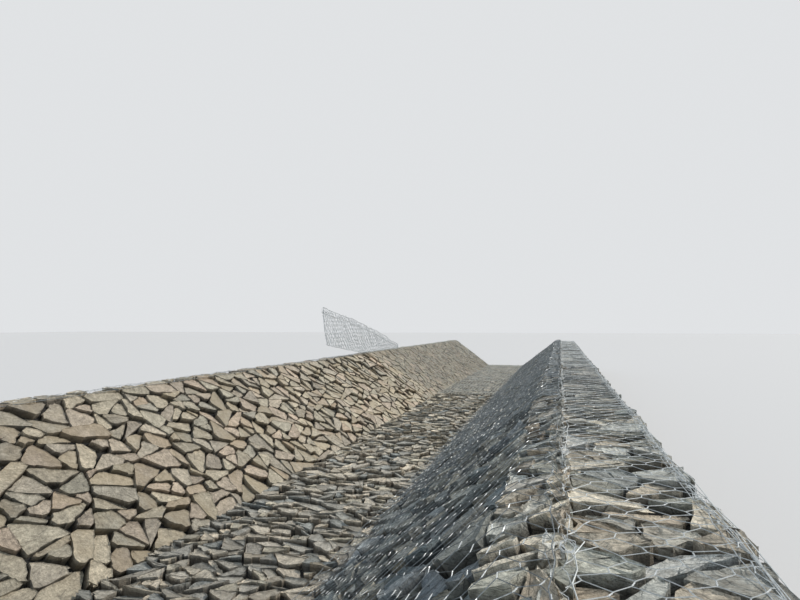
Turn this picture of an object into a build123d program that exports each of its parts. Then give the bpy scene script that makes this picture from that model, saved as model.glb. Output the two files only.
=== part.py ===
"""Six bays of a gabion channel wall: stone-filled wire baskets on both sides of a stone bed.

X runs across the channel, Y along it and Z up, in millimetres.
The origin is the centre of the base. The tall wall with the walkable crest is on the +X side.
Each bay has four stone masses (wall, slope, bed, bank) and the selvedge wires of its baskets.
The two slopes and the bed are faced with large slabs, each sunk and tilted its own way.
The last three bays are closed by a lid over bed and bank, and its loose corner stands up.
"""

import math
import os
import random

from build123d import *

# Bays along the channel
BAY_COUNT = 6
BAY_LENGTH = 6000
FIRST_LIDDED_BAY = 4

# Cross-section
CHANNEL_DEPTH = 1500
BED_THICKNESS = 300
BED_WIDTH = 2050
SLOPE_RUN = 2000
RIM_WIDTH = 250
RIM_RISE = 50
CREST_WIDTH = 800
CREST_CROWN = 20
BANK_CREST_WIDTH = 300
EDGE_CHAMFER = 60

# Facing slabs of the two slopes and the bed
SLOPE_COURSES = 3
BED_COURSES = 2
SLABS_PER_COURSE = 4
SLAB_DEPTH = 250
SLAB_RISE_ACROSS = 100
SLAB_RISE_ALONG = 75
SLAB_SINK = (3, 30)
JOINT_WANDER = 120

# Selvedge and diaphragm wires
WIRE = 5
WIRE_SEAT = 0.3
DIAPHRAGM_SPACING = 3000

# Netting of the loose lid corner
MESH_WIDTH = 190
MESH_TWIST = 50
MESH_SLANT = 72
MESH_WIRE = 8
SHEET_THICKNESS = 4
FLAP_OVERHANG = 3600
FLAP_LENGTH = 7600
FLAP_LIFT = 350
FLAP_NEAR_HEIGHT = 1420
FLAP_FAR_HEIGHT = 150
FLAP_LEAN = 8
PANEL_GAP = 0.3

# Worked out from the values above
WIRE_GAP = WIRE + WIRE_SEAT
BED_TOP = BED_THICKNESS
CREST_TOP = BED_THICKNESS + CHANNEL_DEPTH
TOTAL_WIDTH = BANK_CREST_WIDTH + 2 * SLOPE_RUN + BED_WIDTH + RIM_WIDTH + CREST_WIDTH
WALL_BACK_X = TOTAL_WIDTH / 2
SEAM_X = WALL_BACK_X - CREST_WIDTH
RIM_X = SEAM_X - RIM_WIDTH
TOE_X = RIM_X - SLOPE_RUN
BANK_TOE_X = TOE_X - BED_WIDTH
BANK_TOP_X = BANK_TOE_X - SLOPE_RUN
BANK_BACK_X = BANK_TOP_X - BANK_CREST_WIDTH
TOTAL_LENGTH = BAY_COUNT * BAY_LENGTH
FILL_LENGTH = BAY_LENGTH - 2 * WIRE_GAP

# Ends of each stone face towards -X and +X, as X and Z
BANK_LINE = ((BANK_TOP_X, CREST_TOP - WIRE_GAP), (BANK_TOE_X - WIRE_GAP, BED_TOP - WIRE_GAP))
BED_LINE = ((BANK_TOE_X + WIRE_GAP, BED_TOP - WIRE_GAP), (TOE_X - WIRE_GAP, BED_TOP - WIRE_GAP))
SLOPE_LINE = ((TOE_X + WIRE_GAP, BED_TOP - WIRE_GAP), (RIM_X, CREST_TOP + RIM_RISE - WIRE_GAP))


def bay_start(bay):
    """Y of the near end of a bay, counted from 1."""
    return (bay - 1) * BAY_LENGTH - TOTAL_LENGTH / 2


def along_channel(section, length, start):
    """Extrude a face drawn in X and Z for a length along +Y."""
    return Pos(0, start, 0) * extrude(section, length, dir=(0, 1, 0))


def outline(*points):
    """Closed face in the XZ plane from (x, z) points."""
    return Plane.XZ * make_face(Polyline(*points, close=True))


def eased(section, *corners):
    """Bevel the top corners of a face at the given X places, as packed stones round them off."""
    picked = [v for v in section.vertices() for x in corners if abs(v.X - x) < 1 and v.Z > BED_TOP + 1]
    return chamfer(picked, EDGE_CHAMFER)


def wall_section():
    """Box gabion under the crest, with the slight crown of a tightly packed lid."""
    left = SEAM_X + WIRE_GAP
    right = WALL_BACK_X - WIRE_GAP
    top = CREST_TOP - WIRE_GAP
    shoulder = top - CREST_CROWN
    quarter = (right - left) / 4
    crown = [(left, shoulder), (left + quarter, top), (right - quarter, top), (right, shoulder)]
    return eased(outline((left, 0), *crown, (right, 0)), right)


def slope_section():
    """Wedge gabion with the raised rim of stones beside the crest seam."""
    foot, rim = SLOPE_LINE
    right = SEAM_X - WIRE_GAP
    wedge = outline((right, 0), (right, rim[1]), rim, foot, (foot[0], 0))
    return eased(wedge, right, RIM_X)


def bank_section():
    """Wedge gabion of the opposite bank."""
    crest, foot = BANK_LINE
    back = BANK_BACK_X + WIRE_GAP
    wedge = outline((back, 0), (back, crest[1]), crest, foot, (foot[0], 0))
    return eased(wedge, back, BANK_TOP_X)


def bed_section():
    """Flat mattress between the two toes."""
    left, right = BED_LINE
    return outline((left[0], 0), left, right, (right[0], 0))


def joint_lines(rng, courses, course_width):
    """Wandering joints between the courses of a face: lines of places across the face and along it."""
    steps = 2 * SLABS_PER_COURSE
    lines = []
    for line in range(courses + 1):
        wander_across = JOINT_WANDER if 0 < line < courses else 0
        places = []
        for step in range(steps + 1):
            wander_along = JOINT_WANDER if 0 < step < steps else 0
            across = line * course_width + rng.uniform(-1, 1) * wander_across
            along = step * FILL_LENGTH / steps + rng.uniform(-1, 1) * wander_along
            places.append((across, along))
        lines.append(places)
    return lines


def slab_outlines(lines):
    """Outlines of the slabs, two steps long, with every other course shifted by one step."""
    last = 2 * SLABS_PER_COURSE
    outlines = []
    for course, (below, above) in enumerate(zip(lines, lines[1:])):
        ends = sorted({0, last, *range(course % 2, last, 2)})
        for start, end in zip(ends, ends[1:]):
            outlines.append(below[start:end + 1] + above[start:end + 1][::-1])
    return outlines


def space_over_slab(rng, corners, course_width):
    """Space between the netting and one slab, whose top is tilted with its highest corner sunk least."""
    tilt_across = rng.uniform(-1, 1) * SLAB_RISE_ACROSS / course_width
    tilt_along = rng.uniform(-1, 1) * SLAB_RISE_ALONG * SLABS_PER_COURSE / FILL_LENGTH
    highest = max(across * tilt_across + along * tilt_along for across, along in corners)
    top = Plane(origin=(0, 0, -highest - rng.uniform(*SLAB_SINK)), z_dir=(-tilt_across, -tilt_along, 1))
    slab = Pos(0, 0, -SLAB_DEPTH) * make_face(Polyline(*corners, close=True))
    return split(extrude(slab, 2 * SLAB_DEPTH, dir=(0, 0, 1)), bisect_by=top, keep=Keep.TOP)


def faced_with_slabs(section, line, courses, seed):
    """Stone mass of one bay, with the face between the two ends of a line broken into slabs."""
    rng = random.Random(seed)
    start, end = line
    run, rise = end[0] - start[0], end[1] - start[1]
    course_width = math.hypot(run, rise) / courses
    face = Plane(origin=(start[0], WIRE_GAP, start[1]), x_dir=(run, 0, rise), z_dir=(-rise, 0, run))
    slabs = slab_outlines(joint_lines(rng, courses, course_width))
    spaces = [face * space_over_slab(rng, corners, course_width) for corners in slabs]
    return along_channel(section, FILL_LENGTH, WIRE_GAP) - spaces


def frame_section(section):
    """Band of one wire thickness round a stone mass, open under its base."""
    grown = offset(section, WIRE_GAP, kind=Kind.INTERSECTION)
    seated = offset(section, WIRE_SEAT, kind=Kind.INTERSECTION)
    above_ground = Plane.XZ * Pos(0, CREST_TOP) * Rectangle(2 * TOTAL_WIDTH, 2 * CREST_TOP)
    return (grown - seated) & above_ground


def basket_frames(section):
    """Frames at both ends of a bay and at its diaphragms."""
    band = frame_section(section)
    starts = list(range(0, BAY_LENGTH, DIAPHRAGM_SPACING)) + [BAY_LENGTH - WIRE]
    return [along_channel(band, WIRE, start) for start in starts]


def edge_wire(right, foot):
    """Selvedge wire along a whole bay, with its lower +X edge at the given X and Z."""
    return Pos(right - WIRE / 2, BAY_LENGTH / 2, foot + WIRE / 2) * Box(WIRE, BAY_LENGTH, WIRE)


def wall_basket():
    """Frames and edge wires of the box gabion."""
    crest_edge = edge_wire(WALL_BACK_X, CREST_TOP - CREST_CROWN - EDGE_CHAMFER - WIRE)
    back_middle = edge_wire(WALL_BACK_X, BED_TOP)
    back_foot = edge_wire(WALL_BACK_X, 0)
    seam_top = edge_wire(SEAM_X + WIRE, CREST_TOP - CREST_CROWN - WIRE)
    return basket_frames(wall_section()) + [crest_edge, back_middle, back_foot, seam_top]


def slope_basket():
    """Frames and edge wires of the rim and the slope below it."""
    seam_top = edge_wire(SEAM_X, CREST_TOP + RIM_RISE - EDGE_CHAMFER - WIRE)
    toe_top = edge_wire(TOE_X + WIRE, BED_TOP - WIRE)
    return basket_frames(slope_section()) + [seam_top, toe_top]


def bed_edges():
    """Long edge wires of the bed mattress and of the bank's toe beside it."""
    return [edge_wire(right, BED_TOP - WIRE) for right in (TOE_X, BANK_TOE_X + WIRE, BANK_TOE_X)]


def bank_back_edges():
    """Long edge wires of the opposite bank's back panel."""
    crest_edge = edge_wire(BANK_BACK_X + WIRE, CREST_TOP - EDGE_CHAMFER - WIRE)
    back_middle = edge_wire(BANK_BACK_X + WIRE, BED_TOP)
    back_foot = edge_wire(BANK_BACK_X + WIRE, 0)
    return [crest_edge, back_middle, back_foot]


def lidded_bank_basket():
    """Wires of the opposite bank and the bed, with the lid laid over both."""
    frames = basket_frames(bank_section()) + basket_frames(bed_section())
    return frames + bank_back_edges() + bed_edges()


def open_bank_basket():
    """The same wires where bank and bed wait for their lid: only the upright panels are there."""
    back_panel = Pos(BANK_BACK_X, BAY_LENGTH / 2, 0) * Box(2 * WIRE, BAY_LENGTH, 2 * (CREST_TOP - EDGE_CHAMFER))
    bank_toe_panel = Pos(BANK_TOE_X, BAY_LENGTH / 2, 0) * Box(2 * WIRE, BAY_LENGTH, 2 * BED_TOP)
    wall_toe_panel = Pos(TOE_X, BAY_LENGTH / 2, 0) * Box(2 * WIRE, BAY_LENGTH, 2 * BED_TOP)
    panels = [back_panel, bank_toe_panel, wall_toe_panel]
    frames = basket_frames(bank_section()) + basket_frames(bed_section())
    cut_frames = [frame & panel for frame in frames for panel in panels]
    return [frame for frame in cut_frames if frame] + bank_back_edges() + bed_edges()


def mesh_openings(area):
    """Hexagonal openings of woven netting over an area, with the twisted wires upright."""
    half_width = (MESH_WIDTH - MESH_WIRE) / 2
    half_twist = MESH_TWIST / 2
    tip = half_twist + MESH_SLANT - MESH_WIRE / 2
    corners = [(-half_width, -half_twist), (0, -tip), (half_width, -half_twist)]
    corners += [(-x, -y) for x, y in corners]
    opening = make_face(Polyline(*corners, close=True))
    row_pitch = MESH_TWIST + MESH_SLANT
    openings = []
    for row in range(int(area.size.Y / row_pitch) + 2):
        shift = (row % 2) * MESH_WIDTH / 2
        for column in range(int(area.size.X / MESH_WIDTH) + 1):
            place = Pos(area.min.X + column * MESH_WIDTH + shift, row * row_pitch)
            openings.append(place * opening)
    return openings


def flap_outline():
    """Loose corner of the lid, flat, with its seated edge on the local X axis."""
    near_edge = [(0, FLAP_LIFT), (0, FLAP_NEAR_HEIGHT)]
    far_edge = [(FLAP_LENGTH, FLAP_FAR_HEIGHT), (FLAP_LENGTH, 0)]
    return make_face(Polyline(*near_edge, *far_edge, (FLAP_OVERHANG, 0), close=True))


def flap_panel(start, end):
    """One netting panel of the loose corner, between two places along it, with a selvedge all round."""
    strip = Pos((start + end) / 2, 0) * Rectangle(end - start, 2 * FLAP_NEAR_HEIGHT)
    sheet = flap_outline() & strip
    inside = offset(sheet, -MESH_WIRE, kind=Kind.INTERSECTION)
    netting = sheet - [opening & inside for opening in mesh_openings(sheet.bounding_box())]
    lean = FLAP_LEAN * math.pi / 180
    seat = (BANK_TOP_X - EDGE_CHAMFER, bay_start(FIRST_LIDDED_BAY) - FLAP_OVERHANG, CREST_TOP + WIRE_SEAT)
    plane = Plane(origin=seat, x_dir=(0, 1, 0), z_dir=(math.cos(lean), 0, math.sin(lean)))
    return extrude(plane * netting, SHEET_THICKNESS)


def write_node(shape, name):
    """Write one piece of the wall as its own file."""
    export_step(shape, f"parts/{name}.step")


os.makedirs("parts", exist_ok=True)

FILLS = {
    "wall_fill": along_channel(wall_section(), FILL_LENGTH, WIRE_GAP),
    "slope_fill": faced_with_slabs(slope_section(), SLOPE_LINE, SLOPE_COURSES, seed=1),
    "bed_fill": faced_with_slabs(bed_section(), BED_LINE, BED_COURSES, seed=3),
    "bank_fill": faced_with_slabs(bank_section(), BANK_LINE, SLOPE_COURSES, seed=2),
}
WALL_BASKET = Part() + wall_basket()
SLOPE_BASKET = Part() + slope_basket()
OPEN_BANK_BASKET = Part() + open_bank_basket()
LIDDED_BANK_BASKET = Part() + lidded_bank_basket()

for bay in range(1, BAY_COUNT + 1):
    place = Pos(0, bay_start(bay), 0)
    for name, fill in FILLS.items():
        write_node(place * fill, f"{name}_{bay}")
    write_node(place * WALL_BASKET, f"wall_basket_{bay}")
    write_node(place * SLOPE_BASKET, f"slope_basket_{bay}")
    bank_basket = OPEN_BANK_BASKET if bay < FIRST_LIDDED_BAY else LIDDED_BANK_BASKET
    write_node(place * bank_basket, f"bank_basket_{bay}")

write_node(flap_panel(0, FLAP_OVERHANG - PANEL_GAP), "raised_flap_near")
write_node(flap_panel(FLAP_OVERHANG, FLAP_LENGTH), "raised_flap_far")
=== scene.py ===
"""Finish of a gabion channel wall: hand-packed stones under woven wire netting.

The stone masses become separate stones with a hearting behind them, painted near black as the shade deep in
the joints.
Hexagonal netting lies over them, drawn tight from stone to stone.
"""

import math
import random

import bmesh
import bpy
import numpy as np
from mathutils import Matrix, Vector
from mathutils.bvhtree import BVHTree
from mathutils.kdtree import KDTree


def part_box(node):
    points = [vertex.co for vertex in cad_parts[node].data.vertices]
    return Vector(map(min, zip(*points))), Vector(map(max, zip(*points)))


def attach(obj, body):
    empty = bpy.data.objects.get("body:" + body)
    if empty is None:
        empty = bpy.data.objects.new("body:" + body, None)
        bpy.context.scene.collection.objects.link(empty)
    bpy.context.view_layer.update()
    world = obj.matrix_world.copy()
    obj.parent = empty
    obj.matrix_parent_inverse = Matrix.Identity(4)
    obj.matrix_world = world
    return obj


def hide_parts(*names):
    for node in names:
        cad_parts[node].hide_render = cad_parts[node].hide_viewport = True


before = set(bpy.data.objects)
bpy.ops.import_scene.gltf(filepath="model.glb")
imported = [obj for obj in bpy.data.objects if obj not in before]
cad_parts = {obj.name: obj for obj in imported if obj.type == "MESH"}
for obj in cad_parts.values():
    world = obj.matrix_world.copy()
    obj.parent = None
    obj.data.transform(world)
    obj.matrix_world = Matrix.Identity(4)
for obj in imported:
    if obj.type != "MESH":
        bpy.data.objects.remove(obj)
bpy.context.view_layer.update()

# Bays: the first ones have the finest stonework, the last ones a lid over bed and bank
BAYS = range(1, 7)
FINE_BAYS = 2
FIRST_LIDDED_BAY = 4

# Cross-section, in metres
WALL_LOW, WALL_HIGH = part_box("wall_fill_1")
SLOPE_LOW, SLOPE_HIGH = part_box("slope_fill_1")
BED_LOW, BED_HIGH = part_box("bed_fill_1")
BANK_LOW, BANK_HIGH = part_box("bank_fill_1")
RIM_WIDTH = 0.25
BANK_CREST_WIDTH = 0.30
HALF_LENGTH = -BED_LOW.y
CREST_TOP = WALL_HIGH.z
BED_TOP = BED_HIGH.z
RIM_TOP = SLOPE_HIGH.z
SEAM_X = (WALL_LOW.x + SLOPE_HIGH.x) / 2
RIM_X = SLOPE_HIGH.x - RIM_WIDTH
TOE_X = SLOPE_LOW.x
BANK_TOE_X = BANK_HIGH.x
BANK_TOP_X = BANK_LOW.x + BANK_CREST_WIDTH

# Stones: lengths in metres and areas in square metres
STONE_DEPTH = 0.17
FLAT_STONE_DEPTH = 0.12
HEARTING_DEPTH = 0.13
HEARTING_COVER = 0.01
SMALLEST_CELL = 0.0016
SMALLEST_STONE = 0.0022
LARGE_STONE = 0.035
SHORTEST_SIDE = 0.015
LEAST_SUNK = 0.008
LEAST_COVER = 0.004
ROUGH_CORNER = 0.007
WORN_EDGE = 0.010
WORN_HEIGHT = 0.008
BREAK_WIDTH = 0.035
BREAK_HEIGHT = 0.004
FOOT = 0.003
RIM_DROP = 0.10
STRAY = 0.08
OPEN_END = 0.1
FACE_MARGIN = 0.02
BANK_TOE_LAP = 0.07
PACKING_WIDTH = 0.05
PACKING_SUNK = 0.055
PACKING_DEPTH = 0.06

# Painted shade of the stones' sides deep in open joints and in shallow ones
JOINT_PAINTED_SHADE = -1.2
SHALLOW_JOINT_PAINTED_SHADE = -0.1

# Stone colours on screen, from 0 to 255
CREST_COLOURS = [
    (220, 217, 204), (187, 187, 178), (240, 227, 203),
    (167, 172, 162), (207, 190, 166), (228, 225, 214),
]
SLOPE_COLOURS = [(149, 155, 157), (170, 172, 163), (125, 136, 138), (183, 176, 157), (141, 144, 139)]
BED_COLOURS = [
    (180, 172, 153), (191, 179, 160), (152, 149, 140),
    (196, 183, 162), (136, 139, 135), (168, 159, 144),
]
BANK_COLOURS = [
    (167, 156, 136), (174, 163, 142), (157, 150, 133),
    (174, 157, 138), (153, 147, 132), (169, 154, 136),
]
CREST_STAIN = (134, 118, 94)
SLOPE_STAIN = (84, 80, 70)
BED_STAIN = (124, 114, 98)
BANK_STAIN = (150, 134, 108)
# Hearting: near black, painted shade deep in the joints
HEARTING_SHADOW_COLOURS = (16, 16, 16), (46, 44, 41)

# Shades that the stones' colours are multiplied by: their own darkest and lightest tones, and the painted
# shade deep in the joints
DARKEST_STONE = (0.78, 0.79, 0.80, 1)
LIGHTEST_STONE = (1.14, 1.13, 1.12, 1)
DEEPEST_PAINTED_SHADE = (0.30, 0.29, 0.28, 1)

# Woven netting
MESH_WIDTH = 0.19
MESH_TWIST = 0.05
ROW_PITCH = 0.122
NETTING_MARGIN = 0.12
TWIST_SPREAD = 0.0022
WIRE_RADIUS = 0.002
FAR_SLOPE_WIRE_RADIUS = 0.0042
LID_WIRE_RADIUS = 0.0045
NEARBY = 0.15
RAY_START = 0.08
DEEPEST = -0.09
SELVEDGE_DEEPEST = -0.05
LOWEST_CEILING = 0.003
PULLS = 60
SELVEDGE_PULLS = 15

# Highest phase of a wave drawn at random: a full turn and a little more
FULL_TURN = 6.3

# Selvedges and lacing
SELVEDGE_RADIUS = 0.0028
SELVEDGE_STEP = 0.15
SELVEDGE_HOLD = 0.2
LACING_RADIUS = 0.0016
LACING_PITCH = 0.26
LACING_POINTS = 6
LACING_SUNK = 0.006

# Where the lids run
EDGE = 0.06
BEND_REACH = 0.04
CREST_LAP = 0.06
LID_TOE_LAP = 0.10
LID_TOE_RISE = 0.16
BACK_OFF = 0.003
END_OFF = 0.004
LID_FOOT = 0.005
LID_DRAWN_BACK = 1.9
LID_SLANT = 0.1

# Raised flap: its box, its heights above the bank's crest and its lean
FLAP_NEAR, FLAP_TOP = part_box("raised_flap_near")
_, FLAP_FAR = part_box("raised_flap_far")
FLAP_SEAT_X = FLAP_FAR.x
FLAP_HIGH = FLAP_TOP.z - BANK_HIGH.z
FLAP_LOW = 0.15
FLAP_LIFT = 0.35
FLAP_BOW = 0.12
FLAP_HEM = 0.16
FLAP_LEAN = 0.14
FLAP_WIRE_RADIUS = 0.004
FLAP_SELVEDGE_RADIUS = 0.008
LOWEST_HEM = 0.03

# Camera, in the photograph's frame of 800 by 600 pixels
CAMERA_BACK = 1.5
CAMERA_ABOVE_CREST = 0.9
CAMERA_YAW = 14.93
CAMERA_PITCH = 2.43
FOCAL_PIXELS = 600
FRAME_PIXELS = 800
SENSOR_WIDTH = 36
CLIP_END = 500

# Floor and light
FLOOR_SIZE = 200
FLOOR_COLOUR = (0.64, 0.62, 0.60, 1)
SKY_COLOUR = (0.70, 0.84, 1.0, 1)
SKY_STRENGTH = 0.594
BACKDROP_COLOUR = (0.96, 0.98, 1.0, 1)
BACKDROP_STRENGTH = 0.78
KEY_COLOUR = (1.0, 0.96, 0.9)
KEY_STRENGTH = 2.9
KEY_SPREAD = 7
KEY_TURN = (-28, 42, 0)

# Guards against dividing by nothing
TINY = 1e-9
SPECK = 1e-12
SAME_PLACE = 1e-6


def bay_ends(bay):
    """Near and far Y of a bay's stone mass."""
    low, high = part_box(f"bed_fill_{bay}")
    return low.y, high.y


# Stone outlines


def between(start, end, share):
    """The place at a share of the way from start to end."""
    return start[0] + (end[0] - start[0]) * share, start[1] + (end[1] - start[1]) * share


def clipped(polygon, point, normal):
    """Part of a convex polygon on the side of a line that its normal points away from."""
    kept = []
    sides = [(u - point[0]) * normal[0] + (v - point[1]) * normal[1] for u, v in polygon]
    for i, here in enumerate(polygon):
        before, side = sides[i - 1], sides[i]
        if (before < 0) != (side < 0):
            kept.append(between(polygon[i - 1], here, before / (before - side)))
        if side < 0:
            kept.append(here)
    return kept


def area_and_centre(polygon):
    """Area and centroid of a polygon."""
    area = centre_u = centre_v = 0.0
    for i, (u, v) in enumerate(polygon):
        before_u, before_v = polygon[i - 1]
        cross = before_u * v - u * before_v
        area += cross / 2
        centre_u += (before_u + u) * cross / 6
        centre_v += (before_v + v) * cross / 6
    return (area, centre_u / area, centre_v / area) if abs(area) > TINY else (0.0, 0.0, 0.0)


def block_seeds(rng, outline, size):
    """Places of the blocks' seeds in uneven rows over an outline, each with a weight of its own."""
    us, vs = zip(*outline)
    low_u, low_v = min(us), min(vs)
    width, length = max(us) - low_u, max(vs) - low_v
    columns, rows = max(1, round(width / size)), max(1, round(length / size))
    seeds = []
    for row in range(rows):
        count = columns + rng.choice((-1, 0, 0, 1)) if columns > 2 else columns
        shift = rng.random()
        for column in range(count):
            u = low_u + ((column + shift) % count + rng.uniform(-0.4, 0.4)) * width / count
            v = low_v + (row + 0.5 + rng.uniform(-0.5, 0.5)) * length / rows
            seeds.append((u, v, rng.uniform(-0.35, 0.35) * size * size))
    return seeds


def quarry_blocks(rng, outline, size, neighbours=20):
    """Large irregular blocks that fill an outline: each keeps what lies nearest to its own seed."""
    seeds = block_seeds(rng, outline, size)
    tree = KDTree(len(seeds))
    for i, (u, v, _) in enumerate(seeds):
        tree.insert((u, v, 0), i)
    tree.balance()
    blocks = []
    for u, v, weight in seeds:
        block = outline
        for co, other, distance in tree.find_n((u, v, 0), neighbours):
            if distance < SAME_PLACE or len(block) < 3:
                continue
            du, dv = (co.x - u) / distance, (co.y - v) / distance
            reach = (distance * distance + weight - seeds[other][2]) / (2 * distance)
            block = clipped(block, (u + du * reach, v + dv * reach), (du, dv))
        if len(block) >= 3:
            blocks.append(block)
    return blocks


def split_in_two(rng, block):
    """A block broken across its long way, near the middle and somewhat askew."""
    _, cu, cv = area_and_centre(block)
    length, a, b = max((math.dist(a, b), a, b) for i, a in enumerate(block) for b in block[:i])
    turn = math.atan2(b[1] - a[1], b[0] - a[0]) + rng.gauss(0, 0.32)
    du, dv = math.cos(turn), math.sin(turn)
    shift = rng.uniform(-0.14, 0.14) * length
    point = (cu + du * shift, cv + dv * shift)
    return clipped(block, point, (du, dv)), clipped(block, point, (-du, -dv))


def stone_cells(rng, outline, size, stretch):
    """Angular cells of stones that fill an outline, of many sizes.

    size is a stone's usual width, and stretch how much longer it is along the second axis."""
    squeezed = [(u, v / stretch) for u, v in outline]
    cells = []
    for block in quarry_blocks(rng, squeezed, size * 2.3):
        waiting = [block]
        while waiting:
            cell = waiting.pop()
            if len(cell) < 3:
                continue
            if area_and_centre(cell)[0] > size * size * rng.uniform(0.8, 2.3):
                waiting += split_in_two(rng, cell)
            else:
                cells.append([(u, v * stretch) for u, v in cell])
    return cells


def knocked_off(rng, cell, fine):
    """A cell with its sharp corners broken away and its sides bent, in more places where it is fine."""
    corners = []
    for i, here in enumerate(cell):
        before, after = cell[i - 1], cell[(i + 1) % len(cell)]
        back, on = math.dist(before, here), math.dist(here, after)
        if back < SHORTEST_SIDE:
            continue
        turn = (here[0] - before[0]) * (after[0] - here[0]) + (here[1] - before[1]) * (after[1] - here[1])
        sharp = turn / (back * on + TINY) < 0.35
        if sharp or rng.random() < (0.65 if fine else 0.35):
            cut_back, cut_on = rng.uniform(0.08, 0.3), rng.uniform(0.08, 0.3)
            corners.append(between(here, before, cut_back))
            corners.append(between(here, after, cut_on))
        else:
            corners.append(here)
        bends = min(3, int(on / 0.08)) if fine else int(on > 0.22)
        for k in range(bends):
            share = (k + 1 + rng.uniform(-0.3, 0.3)) / (bends + 1)
            bend = rng.uniform(-0.8, 1.0) * 0.016 if fine else rng.uniform(-0.2, 0.9) * 0.018
            u, v = between(here, after, share)
            corners.append((u - (after[1] - here[1]) / on * bend, v + (after[0] - here[0]) / on * bend))
    return corners


def stone_outline(rng, cell, gap, fine):
    """A stone's outline in its cell: worn, turned a little and pulled in to leave an uneven joint."""
    if area_and_centre(cell)[0] < SMALLEST_CELL:
        return None
    corners = knocked_off(rng, cell, fine)
    if len(corners) < 3:
        return None
    _, cu, cv = area_and_centre(corners)
    turn = rng.gauss(0, 0.045)
    cos, sin = math.cos(turn), math.sin(turn)
    shift_u, shift_v = rng.gauss(0, gap / 3), rng.gauss(0, gap / 3)
    worn = []
    for u, v in corners:
        reach = math.dist((u, v), (cu, cv))
        pull = max(0.35, 1 - (gap * rng.uniform(0.5, 1.5)) / max(reach, SAME_PLACE))
        du, dv = (u - cu) * pull, (v - cv) * pull
        worn.append((cu + du * cos - dv * sin + shift_u, cv + du * sin + dv * cos + shift_v))
    return worn


# Faces of stones


class Facing:
    """A flat face of stones: its corner, its two directions and its outline along them."""

    def __init__(self, corner, across, along, outline):
        self.corner = Vector(corner)
        self.across = Vector(across).normalized()
        self.along = Vector(along).normalized()
        self.out = self.across.cross(self.along).normalized()
        self.outline = outline
        self.left = min(u for u, _ in outline)
        self.right = max(u for u, _ in outline)
        self.length = max(v for _, v in outline)
        self.lengthwise = self.along.y > 0.9  # whether its second way runs along the wall

    def point(self, u, v, height):
        return self.corner + self.across * u + self.along * v + self.out * height


class Stonework:
    """How the stones of one face are laid: their usual width, and whatever departs from these ways."""

    stretch = 1.0  # a stone's length over its width
    recess = 0.04  # how far the deepest stones lie back
    tilt = 0.07  # how unevenly their tops slope
    lean = (0, 0)  # the usual slope of their tops along the face's two ways
    gap = 0.014  # width of a joint
    ragged = 0.0  # how unevenly they end at the face's two sides
    depth = STONE_DEPTH
    rugged = False  # whether large stones have deeper breaks
    sharp = False  # whether their edges are unworn
    finish = 0  # which of the piece's materials they have
    # joint is painted shade: how dark the stones' sides are painted deep in their joints
    joint = JOINT_PAINTED_SHADE  # how dark they are deep in their joints
    seam = None  # which of the face's two sides, 0 or 1, lies along the seam
    over = (0, 0)  # how far they reach past each side

    def __init__(self, size, **ways):
        self.size = size
        for name, value in ways.items():
            setattr(self, name, value)


def rectangle(width, length):
    return [(0, 0), (width, 0), (width, length), (0, length)]


def seam_wander(y):
    """How far the seam between the crest and the rim strays across, at a place along the wall."""
    return 0.026 * math.sin(1.9 * y) + 0.018 * math.sin(6.1 * y + 1)


def joint_wander(x, y):
    """How far the stones' joint between two bays strays along the wall.

    It is straight at the wall's open ends."""
    if abs(y) > HALF_LENGTH - OPEN_END:
        return 0.0
    return 0.05 * math.sin(7.3 * x + y) + 0.03 * math.sin(16.7 * x + 2 * y)


def strip_to_fill(facing, work):
    """A face's outline with what its stones may stray past it, at the seam and at the joints of its bay."""
    if not facing.lengthwise:
        return facing.outline
    before = STRAY * (facing.corner.y > OPEN_END - HALF_LENGTH)
    after = STRAY * (facing.corner.y + facing.length < HALF_LENGTH - OPEN_END)
    left = -max(work.over[0], STRAY * (work.seam == 0))
    right = facing.right + max(work.over[1], STRAY * (work.seam == 1))
    end = facing.length + after
    return [(left, -before), (right, -before), (right, end), (left, end)]


def kept_between(rng, facing, work, outline):
    """A stone's outline held between the ragged sides of its face and the wavering joints of its bay."""
    length = facing.length
    kept = []
    for u, v in outline:
        strays = [seam_wander(facing.corner.y + v) if side == work.seam else 0 for side in (0, 1)]
        u = max(u, facing.left + rng.uniform(0, work.ragged) + strays[0] - work.over[0])
        u = min(u, facing.right - rng.uniform(0, work.ragged) + strays[1] + work.over[1])
        if facing.lengthwise:
            x, near = facing.corner.x + facing.across.x * u, facing.corner.y
            v = max(v, joint_wander(x, near) + rng.uniform(0.3, 1.7) * work.gap)
            v = min(v, length + joint_wander(x, near + length) - rng.uniform(0.3, 1.7) * work.gap)
        kept.append((u, v))
    return kept


def set_stone(bm, rng, facing, work, outline, centre):
    """The top of one stone, tilted its own way and sunk below the face, but clear of the hearting."""
    tone_layer = bm.verts.layers.float_color["tone"]
    cu, cv = centre
    tilt_u, tilt_v = rng.gauss(work.lean[0], work.tilt), rng.gauss(work.lean[1], work.tilt)
    sunk = rng.uniform(LEAST_SUNK, work.recess)
    lift = max((u - cu) * tilt_u + (v - cv) * tilt_v for u, v in outline)
    eased = min(1, (HEARTING_DEPTH - HEARTING_COVER - sunk) / 2 / lift)
    tilt_u, tilt_v, level = tilt_u * eased, tilt_v * eased, -sunk - lift * eased
    tone = (rng.random(), rng.random(), rng.random(), 1)
    corners = []
    for u, v in outline:
        height = level + (u - cu) * tilt_u + (v - cv) * tilt_v - rng.uniform(0, ROUGH_CORNER)
        vert = bm.verts.new(facing.point(u, v, min(height, -LEAST_COVER)))
        vert[tone_layer] = tone
        corners.append(vert)
    top = bm.faces.new(corners)
    top.material_index = work.finish
    return top


def raise_middle(bm, faces, width, height):
    """Raise the middle of each face above its edge, with a rim of some width between."""
    bmesh.ops.inset_individual(bm, faces=faces, thickness=width, depth=height, use_even_offset=False)


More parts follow.
